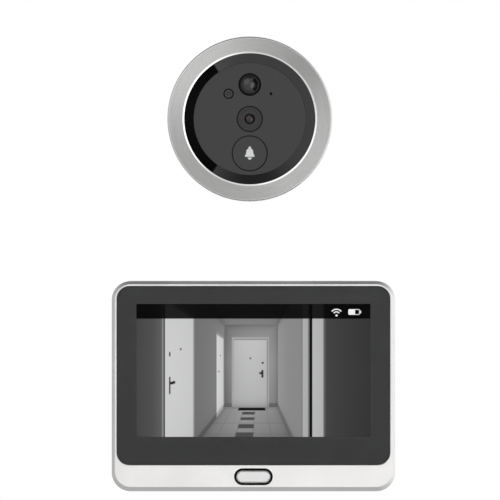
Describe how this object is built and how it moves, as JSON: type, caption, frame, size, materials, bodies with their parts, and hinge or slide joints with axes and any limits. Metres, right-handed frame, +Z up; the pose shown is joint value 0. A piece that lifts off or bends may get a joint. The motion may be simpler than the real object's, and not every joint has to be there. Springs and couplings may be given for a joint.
{
  "type": "peephole door camera",
  "caption": "Peephole door camera: a round outdoor unit with lens, motion sensor and call button, and an indoor screen that hangs on a door bracket.",
  "frame": {"origin": "midway between the outdoor unit's two threaded posts, on the door's plane", "axes": "+Y into the door, along the posts; -Y out towards the viewer; +Z up"},
  "size_m": [0.115, 0.0214, 0.1847],
  "materials": {
    "satin_metal": "finely brushed, satin",
    "gloss_black": "glossy, infrared-transparent",
    "dark_face": "fine matt texture",
    "black_plastic": "matt",
    "rubber": "matt",
    "foam": "closed-cell foam",
    "brass": "machined",
    "steel": "zinc plated",
    "board": "solder mask",
    "connector": "moulded",
    "chip": "moulded",
    "can": "tinned",
    "dome": "smooth, infrared-transparent",
    "lens": "coated",
    "pearl": "pearl silver, satin",
    "clear_glass": "polished",
    "mask": "black",
    "screen": "lit picture",
    "housing": "fine matt texture",
    "battery": "wrapped",
    "copper": "etched copper",
    "bright_pill": "satin with a bright bevel"
  },
  "bodies": {
    "door_unit": {"door_ring": "satin_metal", "dish_window": "gloss_black", "face_cover": "dark_face", "seal_ring": "rubber", "rear_shell": "black_plastic", "door_gasket": "foam", "threaded_posts": "brass", "door_screws": "steel", "cable_gland": "rubber", "door_board": "board", "door_connector": "connector", "door_chips": "chip", "ir_leds": "connector", "door_speaker": "black_plastic", "door_mic": "black_plastic", "mic_gasket": "rubber", "pir_lens": "dome", "pir_sensor": "can", "light_window": "dark_face", "light_sensor": "connector", "lens_bezel": "black_plastic", "lens_holder": "black_plastic", "lens_barrel": "black_plastic", "lens_glass": "lens", "image_sensor": "chip", "bell_switch": "black_plastic", "door_bracket": "steel"},
    "bell": {"bell_button": "dark_face", "bell_plunger": "black_plastic"},
    "monitor": {"front_frame": "pearl", "cover_glass": "clear_glass", "glass_gasket": "mask", "lcd_cell": "screen", "lcd_backlight": "can", "rear_housing": "housing", "main_board": "board", "main_chips": "chip", "shield_can": "can", "battery_pack": "battery", "indoor_speaker": "black_plastic", "indoor_mic": "can", "usb_socket": "can", "card_socket": "can", "ribbon_socket": "connector", "wifi_antenna": "copper", "key_board": "board", "board_screws": "steel", "case_screws": "steel", "view_surround": "black_plastic", "view_switch": "black_plastic", "reset_switch": "black_plastic"},
    "view_key": {"view_button": "bright_pill", "view_plunger": "black_plastic"},
    "reset_key": {"reset_button": "black_plastic", "reset_plunger": "black_plastic"}
  },
  "joints": [
    {"name": "monitor_lift", "type": "slide", "parent": "door_unit", "child": "monitor", "axis": [0, 0, 1], "range_m": [0, 0.007]},
    {"name": "bell_press", "type": "slide", "parent": "door_unit", "child": "bell", "axis": [0, 1, 0], "range_m": [0, 0.0005], "stiffness_N_per_m": 2000},
    {"name": "view_press", "type": "slide", "parent": "monitor", "child": "view_key", "axis": [0, 1, 0], "range_m": [0, 0.0005], "stiffness_N_per_m": 2000},
    {"name": "reset_press", "type": "slide", "parent": "monitor", "child": "reset_key", "axis": [-1, 0, 0], "range_m": [0, 0.0004], "stiffness_N_per_m": 2000}
  ]
}
